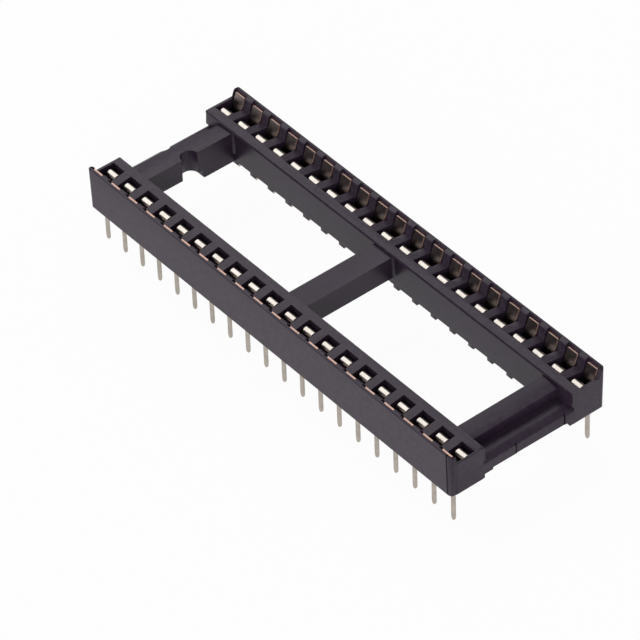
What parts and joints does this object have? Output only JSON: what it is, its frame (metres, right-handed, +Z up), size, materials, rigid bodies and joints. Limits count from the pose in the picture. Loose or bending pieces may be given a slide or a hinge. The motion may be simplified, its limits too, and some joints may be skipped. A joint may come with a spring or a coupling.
{
  "type": "dual in-line chip socket",
  "caption": "Open-frame dual in-line socket for a wide chip package: long rails joined by cross bars, with paired-leaf spring contacts and through-hole solder tails.",
  "frame": {"origin": "middle of the pin grid, on the seating plane under the feet", "axes": "+X along the two rows of contacts, away from the pin-one end; +Y across the rows; +Z up from the board, the way the chip comes out"},
  "size_m": [0.0504, 0.0174, 0.0085],
  "materials": {
    "housing": "matte, moulded, glass-filled black-grey",
    "contact": "bright tin plate, with bare copper alloy on the cut edges"
  },
  "bodies": {
    "root": {"housing": "housing", "contact_01": "contact", "contact_02": "contact", "contact_03": "contact", "contact_04": "contact", "contact_05": "contact", "contact_06": "contact", "contact_07": "contact", "contact_08": "contact", "contact_09": "contact", "contact_10": "contact", "contact_11": "contact", "contact_12": "contact", "contact_13": "contact", "contact_14": "contact", "contact_15": "contact", "contact_16": "contact", "contact_17": "contact", "contact_18": "contact", "contact_19": "contact", "contact_20": "contact", "contact_21": "contact", "contact_22": "contact", "contact_23": "contact", "contact_24": "contact", "contact_25": "contact", "contact_26": "contact", "contact_27": "contact", "contact_28": "contact", "contact_29": "contact", "contact_30": "contact", "contact_31": "contact", "contact_32": "contact", "contact_33": "contact", "contact_34": "contact", "contact_35": "contact", "contact_36": "contact", "contact_37": "contact", "contact_38": "contact", "contact_39": "contact", "contact_40": "contact"}
  },
  "joints": []
}
